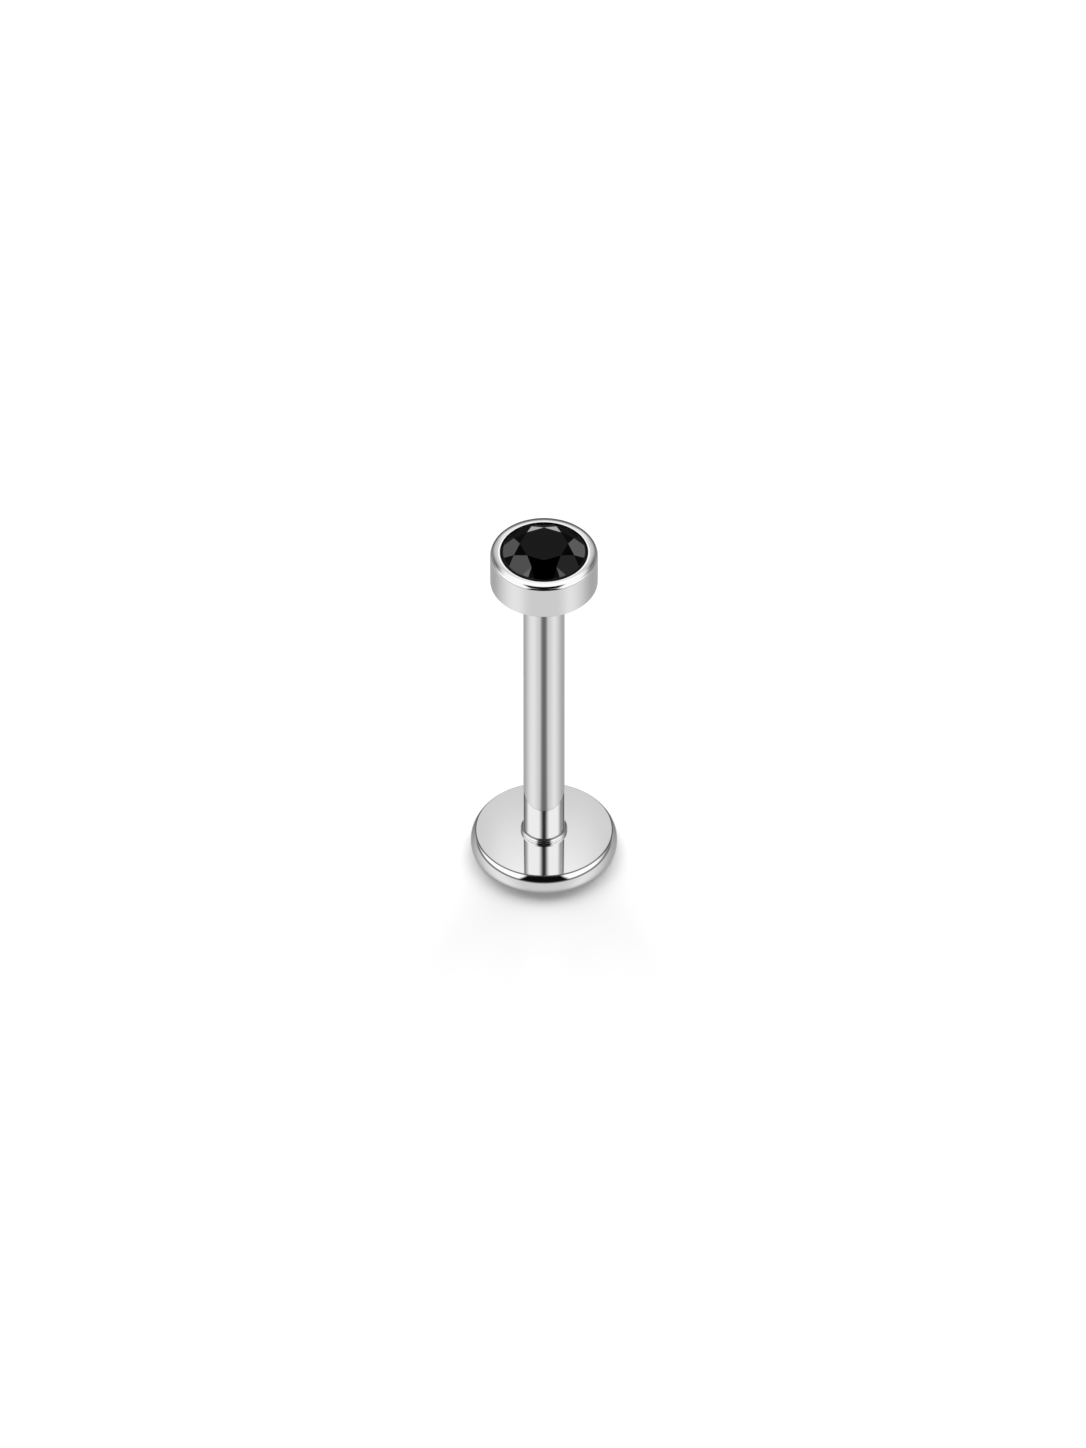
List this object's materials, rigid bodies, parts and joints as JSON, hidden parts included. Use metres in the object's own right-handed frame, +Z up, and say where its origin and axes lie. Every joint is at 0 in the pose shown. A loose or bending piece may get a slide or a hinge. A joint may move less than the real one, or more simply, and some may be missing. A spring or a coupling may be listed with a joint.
{
  "type": "labret stud",
  "caption": "Flat-back labret stud: a round post welded to a disc with a rounded rim, and a pull-off top with a black brilliant-cut stone in a plain bezel cup.",
  "frame": {"origin": "centre of the back disc's flat underside, on the post's axis", "axes": "+Z runs up the post from the back disc to the stone; -Y is the front, where one corner of the stone's table points"},
  "size_m": [0.0042, 0.0042, 0.0119],
  "materials": {
    "polished_steel": "polished",
    "black_stone": "polished"
  },
  "bodies": {
    "stem": {"flat_back_post": "polished_steel"},
    "gem_top": {"bezel_setting": "polished_steel", "stone": "black_stone"}
  },
  "joints": [
    {"name": "top_pull", "type": "slide", "parent": "stem", "child": "gem_top", "axis": [0, 0, 1], "range_m": [0, 0.012]}
  ]
}
